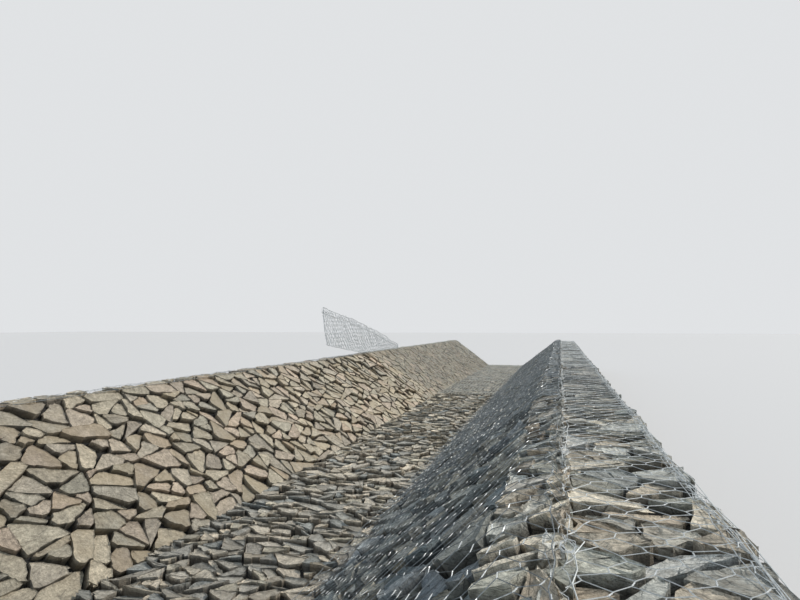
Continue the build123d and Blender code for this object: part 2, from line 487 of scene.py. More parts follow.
def break_stones(bm, rng, facing, work, large, small):
    """Give the tops their stones' depth, worn edges and split faces. Large rugged ones break twice."""
    tone_layer = bm.verts.layers.float_color["tone"]
    tops = large + small
    below = bmesh.ops.extrude_face_region(bm, geom=tops, use_keep_orig=True)["geom"]
    bases = [g for g in below if isinstance(g, bmesh.types.BMVert)]
    for vert in bases:
        vert.co -= facing.out * work.depth * rng.uniform(0.9, 1.1)
        # Painted shade: the bases are marked so that the stones' sides darken deep in the joints
        vert[tone_layer][3] = work.joint
    if not work.sharp:
        raise_middle(bm, tops, WORN_EDGE, WORN_HEIGHT)
    if work.rugged:
        raise_middle(bm, large, BREAK_WIDTH, BREAK_HEIGHT)
        for vert in dict.fromkeys(v for f in large for v in f.verts):
            vert.co += facing.out * rng.uniform(-0.008, 0.004)
    split = bmesh.ops.poke(bm, faces=tops, offset=0.0)["verts"]
    for vert in split:
        reach = min(edge.calc_length() for edge in vert.link_edges)
        shift_u, shift_v = rng.uniform(-0.45, 0.45) * reach, rng.uniform(-0.45, 0.45) * reach
        vert.co += facing.across * shift_u + facing.along * shift_v + facing.out * rng.uniform(-0.010, 0.006)


def lay_stones(bm, rng, facing, work, fine):
    """Lay one face of stones. Each has its own height and tilt, worn edges and a split face."""
    large, small = [], []
    for cell in stone_cells(rng, strip_to_fill(facing, work), work.size, work.stretch):
        outline = stone_outline(rng, cell, work.gap, fine and not work.sharp)
        if outline is None:
            continue
        outline = kept_between(rng, facing, work, outline)
        area, *centre = area_and_centre(outline)
        if area >= SMALLEST_STONE:
            top = set_stone(bm, rng, facing, work, outline, centre)
            (large if area > LARGE_STONE else small).append(top)
    break_stones(bm, rng, facing, work, large, small)
    for vert in bm.verts:
        vert.co.z = max(vert.co.z, FOOT)


def add_hearting(bm, section, near, far):
    """Close a core of small stones behind the facing stones, on its own material, painted near black as
    shade.
    """
    start = [bm.verts.new((x, near, z)) for x, z in section]
    face = bm.faces.new(start)
    grown = bmesh.ops.extrude_face_region(bm, geom=[face], use_keep_orig=True)["geom"]
    moved = [g for g in grown if isinstance(g, bmesh.types.BMVert)]
    bmesh.ops.translate(bm, verts=moved, vec=(0, far - near, 0))
    for face in {f for v in start + moved for f in v.link_faces}:
        face.material_index = 1


def inward(section, sides):
    """A convex section pulled in from the named sides, each a point and the way it faces."""
    for (x, z), out in sides:
        length = math.hypot(*out)
        out_x, out_z = out[0] / length, out[1] / length
        pulled_in = (x - out_x * HEARTING_DEPTH, z - out_z * HEARTING_DEPTH)
        section = clipped(section, pulled_in, (out_x, out_z))
    return section


# Faces of the four gabions


def wall_faces(bay):
    """Box gabion under the crest: crest slabs and the coursed back.

    Like the functions for the other gabions, it gives the faces with their stonework, the section of
    the stone mass and the sides of that section that are faced with stones."""
    near, far = bay_ends(bay)
    length = far - near
    left, right = WALL_LOW.x, WALL_HIGH.x
    section = [(left, 0), (right, 0), (right, CREST_TOP), (left, CREST_TOP)]
    sides = [((0, CREST_TOP), (0, 1)), ((right, 0), (1, 0))]
    crest = Facing((left, near, CREST_TOP), (1, 0, 0), (0, 1, 0), rectangle(right - left, length))
    up = CREST_TOP - STONE_DEPTH - FACE_MARGIN
    back = Facing((right, near, 0), (0, 1, 0), (0, 0, 1), rectangle(length, up))
    slabs = Stonework(
        0.33, stretch=0.9, recess=0.06, lean=(0, -0.03), gap=0.022, ragged=0.045, rugged=True, seam=0,
    )
    return [(crest, slabs), (back, COURSED)], section, sides


def slope_faces(bay):
    """Wedge gabion: rim stones beside the seam and the slope down to the bed."""
    near, far = bay_ends(bay)
    length = far - near
    right = SLOPE_HIGH.x
    rise = Vector((RIM_X - TOE_X, 0, RIM_TOP - BED_TOP))
    drop = rise * (RIM_DROP / rise.z)
    across = Vector((right - RIM_X, 0, 0)) + drop
    section = [(TOE_X, 0), (right, 0), (right, RIM_TOP), (RIM_X, RIM_TOP), (TOE_X, BED_TOP)]
    sides = [((right, RIM_TOP), (-across.z, across.x)), ((TOE_X, BED_TOP), (-rise.z, rise.x))]
    rim_corner = (RIM_X - drop.x, near, RIM_TOP - drop.z)
    rim = Facing(rim_corner, across, (0, 1, 0), rectangle(across.length, length))
    down = rise.length - drop.length - FACE_MARGIN
    slope = Facing((TOE_X, near, BED_TOP), rise, (0, 1, 0), rectangle(down, length))
    kerb = Stonework(
        0.21, stretch=1.2, recess=0.06, tilt=0.14, lean=(0.08, -0.03), gap=0.015, ragged=0.04, rugged=True,
        finish=2, seam=1,
    )
    rubble = Stonework(
        0.26, stretch=1.1, recess=0.085, tilt=0.14, lean=(0, -0.05), gap=0.020, ragged=0.05, rugged=True,
        over=(0, 0.04),
    )
    return [(rim, kerb), (slope, rubble)], section, sides


def seam_packing(bay):
    """Small stones pushed into the seam beside the rim."""
    near, far = bay_ends(bay)
    corner = (SLOPE_HIGH.x - PACKING_WIDTH, near, RIM_TOP - PACKING_SUNK)
    seam = Facing(corner, (1, 0, 0), (0, 1, 0), rectangle(PACKING_WIDTH, far - near))
    packing = Stonework(
        0.10, stretch=1.5, recess=0.035, tilt=0.2, gap=0.008, depth=PACKING_DEPTH, sharp=True, finish=2,
        joint=SHALLOW_JOINT_PAINTED_SHADE, over=(PACKING_WIDTH, PACKING_WIDTH),
    )
    return seam, packing


def bed_faces(bay):
    """Flat mattress of small stones between the toes."""
    near, far = bay_ends(bay)
    left, right = BED_LOW.x, BED_HIGH.x
    section = [(left, 0), (right, 0), (right, BED_TOP), (left, BED_TOP)]
    sides = [((0, BED_TOP), (0, 1))]
    bed = Facing((left, near, BED_TOP), (1, 0, 0), (0, 1, 0), rectangle(right - left, far - near))
    tipped = Stonework(
        0.215, stretch=0.72, recess=0.07, tilt=0.15, lean=(0, -0.06), ragged=0.09, depth=FLAT_STONE_DEPTH,
        over=(0.03, 0.09),
    )
    return [(bed, tipped)], section, sides


def bank_faces(bay):
    """Wedge gabion of the opposite bank: fitted slope stones, a narrow crest and the back."""
    near, far = bay_ends(bay)
    length = far - near
    left, top = BANK_LOW.x, BANK_HIGH.z
    fall = Vector((BANK_TOE_X - BANK_TOP_X, 0, BED_TOP - top))
    section = [(left, 0), (BANK_TOE_X, 0), (BANK_TOE_X, BED_TOP), (BANK_TOP_X, top), (left, top)]
    sides = [((0, top), (0, 1)), ((BANK_TOE_X, BED_TOP), (-fall.z, fall.x)), ((left, 0), (-1, 0))]
    slope = Facing((BANK_TOP_X, near, top), fall, (0, 1, 0), rectangle(fall.length + BANK_TOE_LAP, length))
    crest = Facing((left, near, top), (1, 0, 0), (0, 1, 0), rectangle(BANK_TOP_X - left - 0.01, length))
    back = Facing((left, far, 0), (0, -1, 0), (0, 0, 1), rectangle(length, top - STONE_DEPTH - FACE_MARGIN))
    shingled = Stonework(0.24, stretch=1.4, recess=0.045, tilt=0.085, lean=(0.06, -0.05), gap=0.012)
    if bay >= FIRST_LIDDED_BAY:
        shingled = Stonework(0.24, stretch=1.3, recess=0.03, tilt=0.05, gap=0.007, joint=SHALLOW_JOINT_PAINTED_SHADE)
    coping = Stonework(0.29, stretch=1.1, recess=0.05, ragged=0.04)
    return [(slope, shingled), (crest, coping), (back, COURSED)], section, sides


def end_faces(bay, section, sides):
    """Coursed faces at the open ends of the first and the last bay."""
    near, far = bay_ends(bay)
    outline = inward(section, sides)
    faces = []
    if bay == BAYS[0]:
        faces.append((Facing((0, near, 0), (1, 0, 0), (0, 0, 1), outline), COURSED))
    if bay == BAYS[-1]:
        mirrored = [(-x, z) for x, z in reversed(outline)]
        faces.append((Facing((0, far, 0), (-1, 0, 0), (0, 0, 1), mirrored), COURSED))
    return faces


COURSED = Stonework(0.36, stretch=0.52, recess=0.05, tilt=0.05, depth=FLAT_STONE_DEPTH, sharp=True)

# The four gabions of a bay, with the faces and the slot of each
GABIONS = {
    "wall": (wall_faces, "crest_stone"),
    "slope": (slope_faces, "slope_stone"),
    "bed": (bed_faces, "bed_stone"),
    "bank": (bank_faces, "bank_stone"),
}

# Which way the seam lies from the two masses that meet at it
SEAM_SIDE = {"wall": -1, "slope": 1}


def sort_faces(bm):
    """Put the faces in the order of their corners, which is the same in every run."""
    bm.verts.index_update()
    count = len(bm.verts)

    def rank(face):
        first, second, third = (v.index for v in face.verts[:3])
        return (first * count + second) * count + third

    bm.faces.sort(key=rank)


def stone_mesh(kind, bay):
    """All stones of one gabion and the hearting behind them."""
    rng = random.Random(f"{kind}-{bay}")
    bm = bmesh.new()
    bm.verts.layers.float_color.new("tone")
    faces, section, sides = GABIONS[kind][0](bay)
    faces += end_faces(bay, section, sides)
    if kind == "slope" and bay <= FINE_BAYS:
        faces.append(seam_packing(bay))
    for facing, work in faces:
        lay_stones(bm, rng, facing, work, bay <= FINE_BAYS)
    near, far = bay_ends(bay)
    near += HEARTING_DEPTH * (bay == BAYS[0])
    far -= HEARTING_DEPTH * (bay == BAYS[-1])
    core = inward(section, sides)
    if kind in SEAM_SIDE:
        core = clipped(core, (WALL_LOW.x - SEAM_SIDE[kind] * HEARTING_DEPTH, 0), (SEAM_SIDE[kind], 0))
    add_hearting(bm, core, near, far)
    sort_faces(bm)
    bmesh.ops.recalc_face_normals(bm, faces=bm.faces[:])
    return bm


# Building blocks of the materials


def material(name, roughness, metallic=0.0):
    """A new node material and its shader."""
    mat = bpy.data.materials.new(name)
    mat.use_nodes = True
    shader = mat.node_tree.nodes["Principled BSDF"]
    shader.inputs["Roughness"].default_value = roughness
    shader.inputs["Metallic"].default_value = metallic
    return mat, shader


def linear(colour):
    """A screen colour of 0 to 255 as the shader's own value."""
    return tuple(((c / 255 + 0.055) / 1.055) ** 2.4 for c in colour) + (1,)


def grey(value):
    return (value, value, value, 1)


WHITE = grey(1)


def object_place(tree):
    return tree.nodes.new("ShaderNodeTexCoord").outputs["Object"]


def feed(tree, socket, value):
    """Give a node's input a value or the output of another node."""
    if isinstance(value, bpy.types.NodeSocket):
        tree.links.new(value, socket)
    else:
        socket.default_value = value


def fed_node(tree, kind, **inputs):
    """A new node with its named inputs fed."""
    node = tree.nodes.new(f"ShaderNode{kind}")
    for name, value in inputs.items():
        feed(tree, node.inputs[name], value)
    return node


def ramp(tree, factor, *stops):
    """A colour ramp over a factor, with (place, colour) stops."""
    node = fed_node(tree, "ValToRGB", Fac=factor)
    while len(node.color_ramp.elements) < len(stops):
        node.color_ramp.elements.new(0.5)
    for element, (place, colour) in zip(node.color_ramp.elements, stops):
        element.position = place
        element.color = colour
    return node.outputs["Color"]


def noise(tree, place, scale, detail=4.0, roughness=0.6):
    node = fed_node(tree, "TexNoise", Vector=place, Scale=scale, Detail=detail, Roughness=roughness)
    return node.outputs["Fac"]


def mixed(tree, factor, first, second, blend="MIX"):
    """Two colours blended by a factor."""
    node = tree.nodes.new("ShaderNodeMix")
    node.data_type = "RGBA"
    node.blend_type = blend
    for name, value in (("Factor", factor), ("A", first), ("B", second)):
        feed(tree, node.inputs[name], value)
    return node.outputs["Result"]


def shaded(tree, colour, shade):
    """A colour made darker or lighter by a shade."""
    return mixed(tree, 1.0, colour, shade, "MULTIPLY")


def reckoned(tree, operation, first, second):
    """Arithmetic on two numbers or outputs."""
    node = tree.nodes.new("ShaderNodeMath")
    node.operation = operation
    for socket, value in zip(node.inputs, (first, second)):
        feed(tree, socket, value)
    return node.outputs["Value"]


def along_grain(tree, place, turn, stretch):
    """Coordinates turned by a share of half a turn and drawn out along the stone's own bedding."""
    turned = fed_node(tree, "VectorRotate", Vector=place, Angle=reckoned(tree, "MULTIPLY", turn, math.pi))
    turned.rotation_type = "Z_AXIS"
    drawn = fed_node(tree, "Mapping", Vector=turned.outputs["Vector"], Scale=stretch)
    return drawn.outputs["Vector"]


def embossed(tree, shader, height, strength, distance):
    """Relief of a surface, from a height over it."""
    bump = fed_node(tree, "Bump", Strength=strength, Distance=distance, Height=height)
    feed(tree, shader.inputs["Normal"], bump.outputs["Normal"])


# Stone


def cracks(tree, place, own_turn, coarse, depth):
    """Shade of the cracks that run along a stone's bedding, darker by their depth."""
    bedded = along_grain(tree, place, own_turn, (2.6, 7.0, 7.0))
    cells = fed_node(tree, "TexVoronoi", Vector=bedded, Scale=1.0)
    cells.feature = "DISTANCE_TO_EDGE"
    opened = reckoned(tree, "ADD", cells.outputs["Distance"], reckoned(tree, "MULTIPLY", coarse, 0.12))
    return ramp(tree, opened, (0.055, grey(1 - depth)), (0.085, WHITE))


def shade_along_wall(tree, place, far_light):
    """Shade from the near end on: none, then far_light, then a little darker where the lid lies, as painted
    shade of the lid.
    """
    axes = fed_node(tree, "SeparateXYZ", Vector=place)
    along = reckoned(tree, "DIVIDE", reckoned(tree, "ADD", axes.outputs["Y"], HALF_LENGTH), 2 * HALF_LENGTH)
    lit, lid_painted_shade = grey(far_light), grey(0.84 * far_light)
    return ramp(tree, along, (0.04, WHITE), (0.26, lit), (0.5, lit), (0.62, lid_painted_shade))


def stone_material(name, colours, stain, stain_share=0.5, crack_depth=0.5, far_light=1.0, strata_depth=0.3):
    """Split rubble: each stone has its own colour, with bedding, cracks, stains and a grainy face, and
    painted shade deep in the joints and where the lid lies.

    far_light is how much lighter, or below 1 darker, the stones are farther along the wall."""
    mat, shader = material(name, 0.9)
    tree = mat.node_tree
    place = object_place(tree)
    tone = tree.nodes.new("ShaderNodeAttribute")
    tone.attribute_name = "tone"
    parts = fed_node(tree, "SeparateColor", Color=tone.outputs["Color"])
    own_turn = parts.outputs["Blue"]
    stops = [(i / (len(colours) - 1), linear(colour)) for i, colour in enumerate(colours)]
    own = ramp(tree, parts.outputs["Red"], *stops)
    own = shaded(tree, own, ramp(tree, parts.outputs["Green"], (0.0, DARKEST_STONE), (1.0, LIGHTEST_STONE)))

    bedded = along_grain(tree, place, own_turn, (4.0, 15.0, 22.0))
    bedding = noise(tree, bedded, 1.0, 6.0, 0.7)
    coarse = noise(tree, place, 8.0, 6.0, 0.65)
    grain = noise(tree, place, 30.0, 6.0, 0.7)
    fine = noise(tree, place, 75.0, 5.0, 0.7)
    mottling = (coarse, 0.8, 1.15), (bedding, 0.8, 1.15), (grain, 0.72, 1.24), (fine, 0.82, 1.15)
    for factor, dark, light in mottling:
        own = shaded(tree, own, ramp(tree, factor, (0.36, grey(dark)), (0.64, grey(light))))

    layers = reckoned(tree, "FRACT", reckoned(tree, "MULTIPLY", noise(tree, bedded, 0.55), 10.0), 0.0)
    strata = ramp(tree, layers, (0.0, grey(1 - strata_depth)), (0.2, WHITE), (1.0, grey(1.08)))
    own = shaded(tree, own, strata)
    crack = cracks(tree, place, own_turn, coarse, crack_depth)
    own = shaded(tree, own, crack)
    # Painted shade: the stones' sides darken towards their bases deep in the joints
    own = shaded(tree, own, ramp(tree, tone.outputs["Alpha"], (0.25, DEEPEST_PAINTED_SHADE), (0.92, WHITE)))

    patches = reckoned(tree, "MULTIPLY", noise(tree, place, 3.2, 5.0), own_turn)
    own = mixed(tree, ramp(tree, patches, (0.26, grey(0)), (0.5, grey(stain_share))), own, linear(stain))
    own = shaded(tree, own, shade_along_wall(tree, place, far_light))
    feed(tree, shader.inputs["Base Color"], own)

    height = noise(tree, place, 22.0, 7.0, 0.68)
    for relief, share in ((fine, 0.25), (bedding, 0.9), (crack, 0.35), (layers, -0.35 * strata_depth)):
        height = reckoned(tree, "ADD", height, reckoned(tree, "MULTIPLY", relief, share))
    embossed(tree, shader, height, 0.9, 0.026)
    feed(tree, shader.inputs["Roughness"], ramp(tree, fine, (0.2, grey(0.8)), (0.8, grey(0.97))))
    return mat


def hearting_shadow_material():
    """Small stones and earth deep in the joints, painted near black as the shade that falls there."""
    mat, shader = material("hearting", 0.95)
    tree = mat.node_tree
    lumps = noise(tree, object_place(tree), 16.0)
    dark, light = HEARTING_SHADOW_COLOURS
    feed(tree, shader.inputs["Base Color"], ramp(tree, lumps, (0.4, linear(dark)), (0.72, linear(light))))
    embossed(tree, shader, lumps, 1.0, 0.05)
    return mat


STONES = {
    "wall": stone_material(
        "crest_stone", CREST_COLOURS, CREST_STAIN, stain_share=0.4, far_light=0.58, strata_depth=0.5
    ),
    "slope": stone_material("slope_stone", SLOPE_COLOURS, SLOPE_STAIN, strata_depth=0.4),
    "bed": stone_material("bed_stone", BED_COLOURS, BED_STAIN, crack_depth=0.35, far_light=1.5),
    "bank": stone_material(
        "bank_stone", BANK_COLOURS, BANK_STAIN, crack_depth=0.3, far_light=1.3, strata_depth=0.22
    ),
}
HEARTING_SHADOW = hearting_shadow_material()


# Wire


def wire_material(name, dull, bright, metallic, roughness):
    """Galvanised wire: zinc with dull and bright spangles."""
    mat, shader = material(name, roughness, metallic)
    tree = mat.node_tree
    spangle = noise(tree, object_place(tree), 45.0, 3.0)
    feed(tree, shader.inputs["Base Color"], ramp(tree, spangle, (0.3, linear(dull)), (0.7, linear(bright))))
    rough = ramp(tree, spangle, (0.3, grey(roughness + 0.1)), (0.7, grey(roughness - 0.1)))
    feed(tree, shader.inputs["Roughness"], rough)
    embossed(tree, shader, spangle, 0.3, 0.001)
    return mat


# Copies of one galvanised wire, some painted lighter or darker as light, shade and highlight
PLAIN_WIRE = wire_material("plain_wire", (146, 152, 155), (196, 201, 202), 0.45, 0.5)
HIGHLIGHT_PAINTED_TWIST = wire_material("highlight_painted_twist", (186, 190, 190), (228, 231, 230), 0.35, 0.45)
SHADE_PAINTED_WIRE = wire_material("shade_painted_wire", (92, 99, 103), (136, 143, 146), 0.6, 0.5)
LID_WIRE = wire_material("lid_wire", (166, 164, 153), (204, 202, 191), 0.2, 0.6)
CREST_LIGHT_PAINTED_WIRE = wire_material("crest_light_painted_wire", (172, 176, 176), (214, 217, 215), 0.35, 0.5)
CREST_HIGHLIGHT_PAINTED_TWIST = wire_material("crest_highlight_painted_twist", (206, 208, 206), (240, 241, 239), 0.25, 0.45)

# Materials of the single wires and of the twists, by where the netting lies: painted lighter on the crest,
# painted darker as shade on the slope and the bank's back, twists painted paler as a highlight
CREST_LIGHT_AND_HIGHLIGHT_WIRES = CREST_LIGHT_PAINTED_WIRE, CREST_HIGHLIGHT_PAINTED_TWIST
SLOPE_SHADE_AND_HIGHLIGHT_WIRES = SHADE_PAINTED_WIRE, HIGHLIGHT_PAINTED_TWIST
BACK_PAINTED_SHADE_WIRES = SHADE_PAINTED_WIRE, PLAIN_WIRE
LID_FINISH = LID_WIRE, PLAIN_WIRE
FLAP_PAINTED_HIGHLIGHT_WIRES = PLAIN_WIRE, HIGHLIGHT_PAINTED_TWIST


# Pieces of stone


def shown(name, data):
    """A new object of the scene."""
    thing = bpy.data.objects.new(name, data)
    bpy.context.scene.collection.objects.link(thing)
    return thing


def add_piece(mesh, materials, slot, *stands_for):
    """Show a mesh as a piece that rides on the wall and stands for plain ones of the frame."""
    for mat in materials:
        mesh.materials.append(mat)
    piece = shown(mesh.name, mesh)
    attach(piece, "root")
    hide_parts(*stands_for)


def build_stones():
    """Stones of every gabion. Returns their surface, for the netting to lie on."""
    points, faces = [], []
    for bay in BAYS:
        for kind, (_, slot) in GABIONS.items():
            bm = stone_mesh(kind, bay)
            mesh = bpy.data.meshes.new(f"{kind}_stones_{bay}")
            bm.to_mesh(mesh)
            add_piece(mesh, (STONES[kind], HEARTING_SHADOW, STONES["wall"]), slot, f"{kind}_fill_{bay}")
            first = len(points)
            points += [v.co.copy() for v in bm.verts]
            bm.verts.index_update()
            faces += [tuple(first + v.index for v in f.verts) for f in bm.faces]
            bm.free()
    return BVHTree.FromPolygons(points, faces)


SURFACE = build_stones()


# Wires as meshes


def swept_wires(runs, radius, sides):
    """Closed wires swept along runs, joined into one mesh: its points, its faces and which are twisted wire.

    Each run is its points, its normals and whether each of its stretches is twisted."""
    points, faces, twists, first = [], [], [], 0
    angles = [2 * math.pi * k / sides for k in range(sides)]
    for line, normals, twisted in runs:
        count = len(line)
        tangent = np.gradient(line, axis=0)
        tangent /= np.linalg.norm(tangent, axis=1, keepdims=True) + SPECK
        side = np.cross(tangent, normals)
        side /= np.linalg.norm(side, axis=1, keepdims=True) + SPECK
        up = np.cross(side, tangent)
        rings = [line + radius * (math.cos(a) * up + math.sin(a) * side) for a in angles]
        points.append(np.stack(rings, axis=1).reshape(-1, 3))
        start = first + sides * np.arange(count - 1)
        for k in range(sides):
            on = (k + 1) % sides
            quad = np.stack([start + k, start + on, start + sides + on, start + sides + k], axis=1)
            faces += quad.tolist()
            twists += twisted.tolist()
        last = first + sides * (count - 1)
        faces.append([first + k for k in reversed(range(sides))])
        faces.append([last + k for k in range(sides)])
        twists += [twisted[0], twisted[-1]]
        first += sides * count
    return np.concatenate(points), faces, twists


def wire_piece(name, stands_for, wire_materials, *parts):
    """Wires of one basket as a piece.

    Its single wires and its twists take the two given materials, some of them painted lighter or darker as
    light, shade and highlight. Each part is runs of wire with their radius and the number of their sides. No
    wire goes below the ground."""
    points, faces, twists, first = [], [], [], 0
    for part in parts:
        part_points, part_faces, part_twists = swept_wires(*part)
        points.append(part_points)
        faces += [[first + k for k in face] for face in part_faces]
        twists += part_twists
        first += len(part_points)
    points = np.concatenate(points)
    points[:, 2] = np.maximum(points[:, 2], 0)
    mesh = bpy.data.meshes.new(name)
    mesh.from_pydata(points.tolist(), [], faces)
    mesh.polygons.foreach_set("material_index", np.array(twists, dtype=np.int32))
    add_piece(mesh, wire_materials, "galvanised_wire", *stands_for)


def one_wire(line, normals, bright=False):
    """A run of single wire, with the twists' material and its painted highlight where it is bright."""
    return line, normals, np.full(len(line) - 1, bright)


# Places that netting is laid on


class Course:
    """The way a lid takes over the cross-section, from the wall's back towards the opposite bank."""

    def __init__(self, *corners):
        self.corners = np.array(corners, float)
        steps = np.linalg.norm(np.diff(self.corners, axis=0), axis=1)
        self.reach = np.concatenate([[0], np.cumsum(steps)])
        self.length = self.reach[-1]

    def place(self, across):
        """X and Z at distances along the way, held at its ends."""
        inside = np.clip(across, 0, self.length)
        x = np.interp(inside, self.reach, self.corners[:, 0])
        z = np.interp(inside, self.reach, self.corners[:, 1])
        return x, z

    def __call__(self, across, y):
        """Points and outward normals, rounded over its corners, at distances along the way and Y places."""
        x, z = self.place(across)
        ahead_x, ahead_z = self.place(across + BEND_REACH)
        behind_x, behind_z = self.place(across - BEND_REACH)
        run, rise = ahead_x - behind_x, ahead_z - behind_z
        size = np.hypot(run, rise) + TINY
        normals = np.stack([rise / size, np.zeros_like(x), -run / size], axis=-1)
        return np.stack([x, y, z], axis=-1), normals

    def covered(self, near, far):
        """Outline of a lid over the whole way."""
        return [(0, near), (self.length, near), (self.length, far), (0, far)]


class Panel:
    """An upright end of the wall, with netting in X and Z."""

    def __init__(self, y, facing):
        self.y = y
        self.facing = facing

    def __call__(self, x, z):
        normals = np.zeros(x.shape + (3,))
        normals[..., 1] = self.facing
        return np.stack([x, np.full_like(x, self.y), z], axis=-1), normals


BACK_X = WALL_HIGH.x + BACK_OFF
BANK_BACK_X = BANK_LOW.x - BACK_OFF
BANK_BACK = [
    (BANK_TOP_X, CREST_TOP),
    (BANK_BACK_X + EDGE, CREST_TOP),
    (BANK_BACK_X, CREST_TOP - EDGE),
    (BANK_BACK_X, LID_FOOT),
]

BACK_LID = Course(
    (BACK_X, LID_FOOT),
    (BACK_X, CREST_TOP - EDGE),
    (BACK_X - EDGE, CREST_TOP),
    (BACK_X - EDGE - CREST_LAP, CREST_TOP),
)
CREST_LID = Course(
    (BACK_X - 0.85 * EDGE, CREST_TOP - 0.25 * EDGE),
    (BACK_X - EDGE, CREST_TOP),
    (SEAM_X + 0.004, CREST_TOP - 0.01),
    (SEAM_X + 0.002, CREST_TOP - 0.02),
)
SLOPE_LID = Course(
    (SEAM_X, CREST_TOP - 0.01),
    (SEAM_X - 0.004, RIM_TOP - 0.02),
    (SEAM_X - 0.03, RIM_TOP),
    (RIM_X, RIM_TOP),
    (TOE_X, BED_TOP),
    (TOE_X - LID_TOE_LAP, BED_TOP - 0.03),
)
BANK_BACK_LID = Course(*BANK_BACK)
FAR_LID = Course(
    (TOE_X + LID_TOE_RISE, BED_TOP + 0.124),
    (TOE_X, BED_TOP),
    (BANK_TOE_X, BED_TOP),
    *BANK_BACK,
)


# Netting


class Weave:
    """How the netting of one lid is woven and how loosely it lies."""

    slack = 0.008  # how unevenly its knots sit
    bulge = 0.0  # how high it stands off the stones between its ties
    ceiling = 0.002  # how far over the lid's way it may stand
    twists = 2  # points on each twist
    turned = False  # whether its twists lie along the lid's first way
    radius = WIRE_RADIUS

    def __init__(self, seed, **ways):
        self.seed = seed
        for name, value in ways.items():
            setattr(self, name, value)


def beyond(outlines, across, along):
    """How far points lie outside all of some convex outlines, negative inside one."""
    least = np.full(np.shape(across), np.inf)
    for outline in outlines:
        distance = np.full(np.shape(across), -np.inf)
        for i, (u, v) in enumerate(outline):
            next_u, next_v = outline[(i + 1) % len(outline)]
            size = math.hypot(next_u - u, next_v - v)
            out_u, out_v = (next_v - v) / size, -(next_u - u) / size
            distance = np.maximum(distance, (across - u) * out_u + (along - v) * out_v)
        least = np.minimum(least, distance)
    return least


def rest_heights(points, normals, deepest=DEEPEST):
    """Height of the stones under each point, measured along its normal."""
    heights = np.full(len(points), deepest)
    for i, (point, normal) in enumerate(zip(points, normals)):
        out = Vector(normal)
        hit = SURFACE.ray_cast(Vector(point) + out * RAY_START, -out, RAY_START - deepest)
        if hit[0] is not None:
            heights[i] = RAY_START - hit[3]
    return heights


def drawn_tight(heights, links, middles):
    """Heights of the knots when the netting is pulled from stone to stone and rests on all of them."""
    first, second = links[:, 0], links[:, 1]
    count = np.bincount(first, minlength=len(heights)) + np.bincount(second, minlength=len(heights))
    level = heights.copy()
    for _ in range(PULLS):
        total = np.bincount(first, level[second], len(level)) + np.bincount(second, level[first], len(level))
        level = np.maximum(heights, total / np.maximum(count, 1))
        short = np.maximum(middles - (level[first] + level[second]) / 2, 0)
        np.maximum.at(level, first, level[first] + short)
        np.maximum.at(level, second, level[second] + short)
    return level


def knot_grid(outlines, weave):
    """Places of the knots over some outlines, by row, column and end of the twist.

    One row is set off from the next, and the whole wavers a little. Two phases for billows come with them."""
    rng = np.random.default_rng(weave.seed)
    corners = np.array([corner for outline in outlines for corner in outline], float)
    low = corners.min(0) - NETTING_MARGIN - rng.uniform(0, NETTING_MARGIN, 2)
    high = corners.max(0) + NETTING_MARGIN
    columns, rows = int((high[0] - low[0]) / MESH_WIDTH) + 2, int((high[1] - low[1]) / ROW_PITCH) + 2
    row, column, end = np.meshgrid(np.arange(rows), np.arange(columns), (0, 1), indexing="ij")
    across = low[0] + (column + 0.5 * (row % 2)) * MESH_WIDTH + rng.normal(0, weave.slack, row.shape)
    along = low[1] + row * ROW_PITCH + (end - 0.5) * MESH_TWIST
    along = along + rng.normal(0, weave.slack, (rows, columns, 1))
    wave = rng.uniform(0, FULL_TURN, 6)
    across += 0.014 * np.sin(along * 2.1 + wave[0]) + 0.010 * np.sin(along * 5.3 + across * 3 + wave[1])
    along += 0.014 * np.sin(across * 3.7 + wave[2]) + 0.010 * np.sin(across * 7.9 + along * 2 + wave[3])
    return across, along, wave[4:]


def knot_links(index):
    """Pairs of knots that a wire joins: the two of each twist, and each with those of the next row."""
    columns = index.shape[1]
    links = [index.reshape(-1, 2)]
    for shift in (0, 1):
        for parity in (0, 1):
            here = index[parity:-1:2, :, 1]
            above = index[parity + 1 :: 2, :, 0]
            step = shift - 1 + parity
            if step > 0:
                here, above = here[:, : columns - step], above[:, step:]
            else:
                here, above = here[:, -step:], above[:, : columns + step]
            links.append(np.stack([here.ravel(), above.ravel()], 1))
    return np.concatenate(links)


def stone_heights(lay, u, v, near):
    """Height of the stones at places near the lid, and the deepest one elsewhere."""
    points, normals = lay(u, v)
    heights = np.full(len(u), DEEPEST)
    heights[near] = rest_heights(points[near], normals[near])
    return heights


def rested(lay, outside, across, along):
    """Heights of the knots over the lid's way when the netting rests on the stones."""
    links = knot_links(np.arange(across.size).reshape(across.shape))
    near = outside.ravel() < NEARBY
    u, v = across.ravel(), along.ravel()
    heights = stone_heights(lay, u, v, near)
    middles = stone_heights(lay, u[links].mean(1), v[links].mean(1), near[links].all(1))
    return drawn_tight(heights, links, middles).reshape(across.shape)


